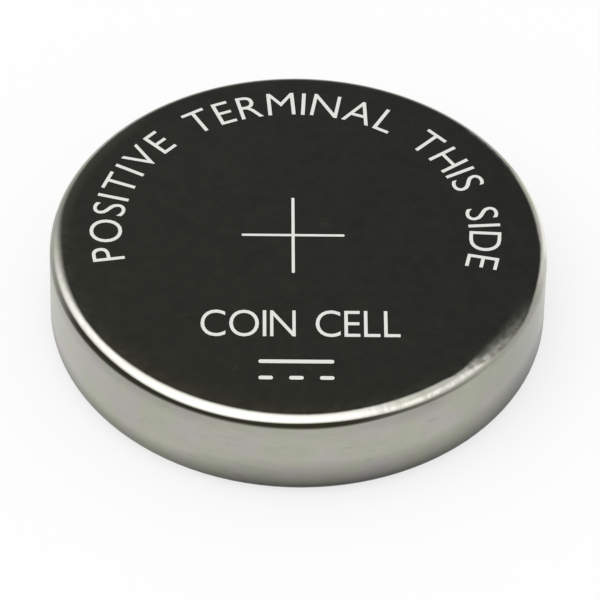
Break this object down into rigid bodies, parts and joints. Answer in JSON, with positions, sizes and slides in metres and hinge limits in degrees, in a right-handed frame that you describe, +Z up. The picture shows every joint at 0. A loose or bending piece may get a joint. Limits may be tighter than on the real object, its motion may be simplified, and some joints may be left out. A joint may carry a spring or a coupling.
{
  "type": "lithium coin cell",
  "caption": "Rechargeable lithium coin cell: a steel can crimped over a gasket and a stepped cap, holding a stack of coated electrode discs and separators.",
  "frame": {"origin": "centre of the flat negative terminal, the face that the cell lies on", "axes": "+Z up along the cell's axis, out of the positive face; +X towards the fold of the cathode tabs; +Y to the back"},
  "size_m": [0.0244, 0.0244, 0.005],
  "materials": {
    "can_steel": "bare nickel-plated steel side, dark satin positive face with pale marks",
    "gasket_plastic": "moulded, matt",
    "cap_steel": "rolled stainless steel, fine brushing",
    "spacer_metal": "stamped plate, satin",
    "insulator_film": "amber film",
    "cathode_coating": "calendered coating on aluminium foil, bare foil tab",
    "anode_coating": "calendered graphite coating on copper foil, bare foil tab",
    "separator_film": "thin porous film"
  },
  "bodies": {
    "root": {"positive_can": "can_steel", "sealing_gasket": "gasket_plastic", "negative_cap": "cap_steel", "spacer_plate": "spacer_metal", "insulating_disc": "insulator_film", "cathode_1": "cathode_coating", "cathode_2": "cathode_coating", "cathode_3": "cathode_coating", "cathode_4": "cathode_coating", "cathode_5": "cathode_coating", "cathode_6": "cathode_coating", "cathode_7": "cathode_coating", "anode_1": "anode_coating", "anode_2": "anode_coating", "anode_3": "anode_coating", "anode_4": "anode_coating", "anode_5": "anode_coating", "anode_6": "anode_coating", "anode_7": "anode_coating", "anode_8": "anode_coating", "separator_1": "separator_film", "separator_2": "separator_film", "separator_3": "separator_film", "separator_4": "separator_film", "separator_5": "separator_film", "separator_6": "separator_film", "separator_7": "separator_film", "separator_8": "separator_film", "separator_9": "separator_film", "separator_10": "separator_film", "separator_11": "separator_film", "separator_12": "separator_film", "separator_13": "separator_film", "separator_14": "separator_film"}
  },
  "joints": []
}
